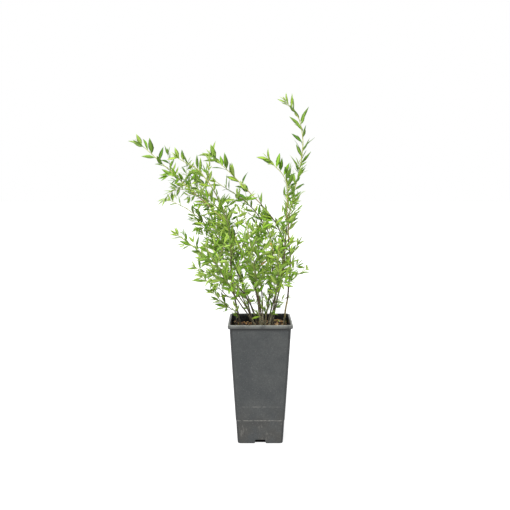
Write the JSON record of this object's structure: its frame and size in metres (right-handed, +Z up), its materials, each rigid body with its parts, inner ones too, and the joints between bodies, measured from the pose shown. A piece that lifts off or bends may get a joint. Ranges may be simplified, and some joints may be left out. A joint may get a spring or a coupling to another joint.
{
  "type": "potted spirea shrub",
  "caption": "Young spirea shrub in leaf: thin stems rise from a tall square dark grey nursery pot and arch over to one side, with small narrow leaves.",
  "frame": {"origin": "centre of the pot's underside, on the ground", "axes": "+Z up the pot to the top of the shrub, -Y towards the viewer of the picture, -X the side that the shoots lean to"},
  "size_m": [0.3536, 0.3054, 0.6648],
  "materials": {
    "pot_plastic": "matt moulded plastic, dark grey, a little dusty",
    "compost": "dark brown compost with bark chips",
    "bark": "thin brown bark with pale specks",
    "foliage": "soft mid green leaves, paler beneath"
  },
  "bodies": {
    "root": {"pot": "pot_plastic", "soil": "compost", "stem_back_left": "bark", "stem_back_middle": "bark", "stem_back_right": "bark", "stem_crossing": "bark", "stem_front_left": "bark", "stem_front_middle": "bark", "stem_front_right": "bark", "stem_left_back": "bark", "stem_left_high": "bark", "stem_left_long": "bark", "stem_left_low": "bark", "stem_lower_left": "bark", "stem_middle": "bark", "stem_right_inner": "bark", "stem_right_tall": "bark", "stem_sprout_left": "bark", "stem_sprout_middle": "bark", "stem_upper_left": "bark", "mass_back_left": "foliage", "mass_back_middle": "foliage", "mass_back_right": "foliage", "mass_crossing": "foliage", "mass_front_left": "foliage", "mass_front_middle": "foliage", "mass_front_right": "foliage", "mass_left_back": "foliage", "mass_left_high": "foliage", "mass_left_long": "foliage", "mass_left_low": "foliage", "mass_low_left": "foliage", "mass_low_left_front": "foliage", "mass_low_right": "foliage", "mass_lower_left": "foliage", "mass_middle": "foliage", "mass_right_inner": "foliage", "mass_right_tall": "foliage", "mass_sprout_left": "foliage", "mass_sprout_middle": "foliage", "mass_upper_left": "foliage"}
  },
  "joints": []
}
